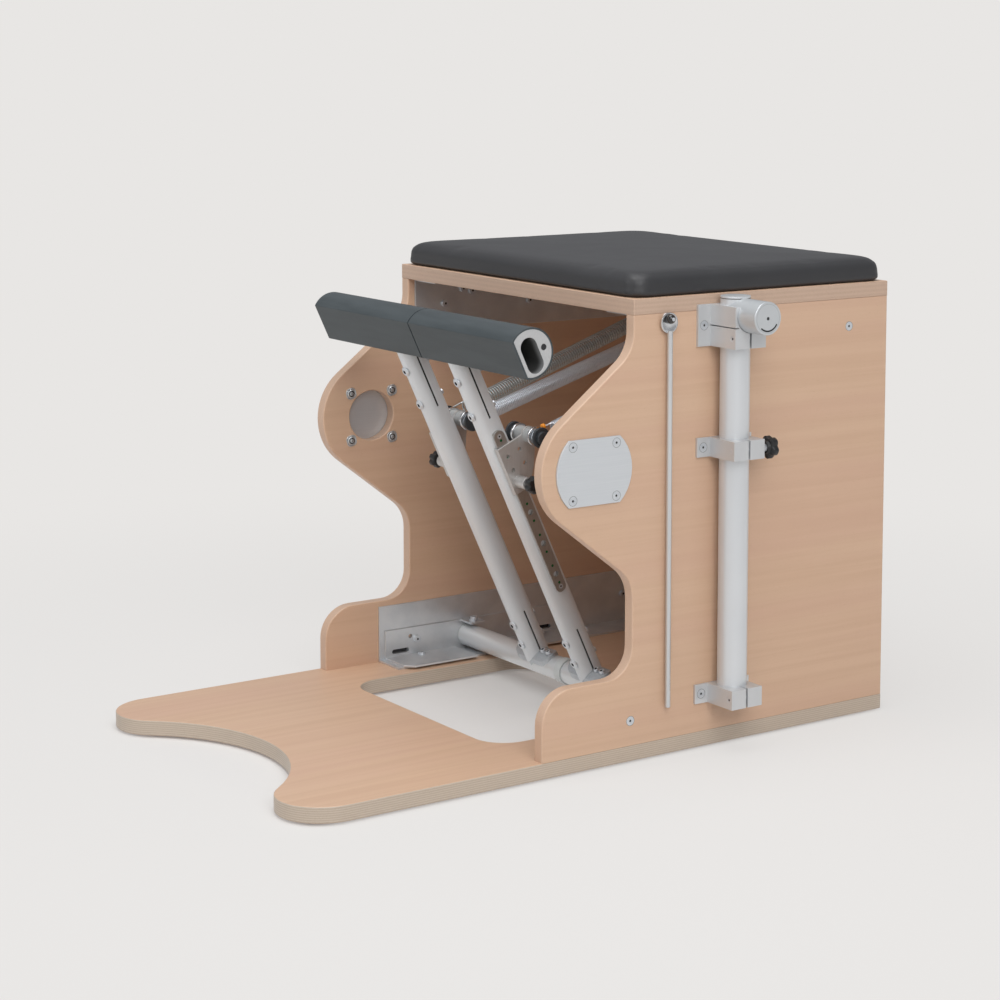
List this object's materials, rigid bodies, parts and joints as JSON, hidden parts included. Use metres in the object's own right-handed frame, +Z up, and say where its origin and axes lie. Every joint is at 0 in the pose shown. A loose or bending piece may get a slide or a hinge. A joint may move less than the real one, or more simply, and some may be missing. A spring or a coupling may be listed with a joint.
{
  "type": "pilates chair",
  "caption": "Box-shaped exercise chair with a padded seat, two sprung foot pedals on tilting arms, a long base board and handle poles at the sides.",
  "frame": {"origin": "on the floor, midway between the sides and midway between the front of the base board and the back of the box", "axes": "+X to the right as seen by a person facing the chair's front, -Y to the front, +Z up"},
  "size_m": [0.762, 0.921, 0.645],
  "materials": {
    "beech_ply": "clear satin lacquer",
    "seat_vinyl": "fine-grained vinyl",
    "black_plastic": "moulded",
    "white_plastic": "turned",
    "grip_rubber": "matt",
    "zinc_steel": "zinc plated",
    "bright_steel": "bright",
    "spring_steel": "drawn wire",
    "satin_aluminium": "satin, clear anodised"
  },
  "bodies": {
    "frame": {"base_board": "beech_ply", "base_feet": "black_plastic", "side_panel_left": "beech_ply", "side_panel_right": "beech_ply", "top_board": "beech_ply", "back_panel": "beech_ply", "seat_cushion": "seat_vinyl", "top_angle_left": "zinc_steel", "top_angle_right": "zinc_steel", "bottom_angle_left": "zinc_steel", "bottom_angle_right": "zinc_steel", "axle_plate_left": "zinc_steel", "axle_plate_right": "zinc_steel", "axle_shaft": "bright_steel", "axle_spacer": "white_plastic", "heavy_spring": "spring_steel", "light_spring_left": "spring_steel", "light_spring_right": "spring_steel", "spring_rail": "zinc_steel", "cover_plate_left": "satin_aluminium", "cover_plate_right": "satin_aluminium", "upper_bracket_left": "satin_aluminium", "upper_bracket_right": "satin_aluminium", "lower_brackets_left": "satin_aluminium", "lower_brackets_right": "satin_aluminium", "rod_hook": "bright_steel", "countersunk_screws": "bright_steel", "frame_bolts": "bright_steel", "tee_nuts": "zinc_steel"},
    "left_pedal": {"axle_tube_left": "satin_aluminium", "axle_bushes_left": "white_plastic", "arm_foot_left": "satin_aluminium", "pedal_arm_left": "satin_aluminium", "bar_stub_left": "satin_aluminium", "pedal_bar_left": "satin_aluminium", "pedal_sleeve_left": "grip_rubber", "hole_strip_left": "satin_aluminium", "arm_screws_left": "bright_steel"},
    "left_carriage": {"carriage_left": "satin_aluminium", "spool_left": "bright_steel"},
    "left_lock_pin": {"pull_pin_left": "black_plastic"},
    "left_pole": {"handle_pole_left": "satin_aluminium", "pole_grip_left": "satin_aluminium"},
    "left_clamp_knob": {"clamp_knob_left": "black_plastic"},
    "right_pedal": {"axle_tube_right": "satin_aluminium", "axle_bushes_right": "white_plastic", "arm_foot_right": "satin_aluminium", "pedal_arm_right": "satin_aluminium", "bar_stub_right": "satin_aluminium", "pedal_bar_right": "satin_aluminium", "pedal_sleeve_right": "grip_rubber", "hole_strip_right": "satin_aluminium", "arm_screws_right": "bright_steel"},
    "right_carriage": {"carriage_right": "satin_aluminium", "spool_right": "bright_steel"},
    "right_lock_pin": {"pull_pin_right": "black_plastic"},
    "right_pole": {"handle_pole_right": "satin_aluminium", "pole_grip_right": "satin_aluminium"},
    "right_clamp_knob": {"clamp_knob_right": "black_plastic"},
    "storage_rod": {"storage_rod": "bright_steel"}
  },
  "joints": [
    {"name": "left_pedal_hinge", "type": "hinge", "parent": "frame", "child": "left_pedal", "pos_m": [0, 0.1205, 0.046], "axis": [1, 0, 0], "range_deg": [0, 61], "stiffness_Nm_per_rad": 36, "springref_deg": -14.32, "deforming": ["heavy_spring", "light_spring_left"]},
    {"name": "left_carriage_slide", "type": "slide", "parent": "left_pedal", "child": "left_carriage", "axis": [0, -0.4202, 0.9074], "range_m": [-0.15, 0], "deforming": ["heavy_spring", "light_spring_left"]},
    {"name": "left_lock_pin_slide", "type": "slide", "parent": "left_carriage", "child": "left_lock_pin", "axis": [-1, 0, 0], "range_m": [-0.005, 0]},
    {"name": "left_pole_slide", "type": "slide", "parent": "frame", "child": "left_pole", "axis": [0, 0, 1], "range_m": [0, 0.3]},
    {"name": "left_knob_turn", "type": "hinge", "parent": "frame", "child": "left_clamp_knob", "pos_m": [-0.3395, 0.145, 0.4084], "axis": [0, 1, 0], "range_deg": [0, 360]},
    {"name": "right_pedal_hinge", "type": "hinge", "parent": "frame", "child": "right_pedal", "pos_m": [0, 0.1205, 0.046], "axis": [1, 0, 0], "range_deg": [0, 61], "stiffness_Nm_per_rad": 20, "springref_deg": -25.78, "deforming": ["light_spring_right"]},
    {"name": "right_carriage_slide", "type": "slide", "parent": "right_pedal", "child": "right_carriage", "axis": [0, -0.4202, 0.9074], "range_m": [-0.15, 0], "deforming": ["light_spring_right"]},
    {"name": "right_lock_pin_slide", "type": "slide", "parent": "right_carriage", "child": "right_lock_pin", "axis": [1, 0, 0], "range_m": [-0.005, 0]},
    {"name": "right_pole_slide", "type": "slide", "parent": "frame", "child": "right_pole", "axis": [0, 0, 1], "range_m": [0, 0.3]},
    {"name": "right_knob_turn", "type": "hinge", "parent": "frame", "child": "right_clamp_knob", "pos_m": [0.3395, 0.145, 0.4084], "axis": [0, 1, 0], "range_deg": [0, 360]},
    {"name": "storage_rod_swing", "type": "hinge", "parent": "frame", "child": "storage_rod", "pos_m": [0.295, 0.0765, 0.582], "axis": [1, 0, 0], "range_deg": [-12, 4]}
  ]
}
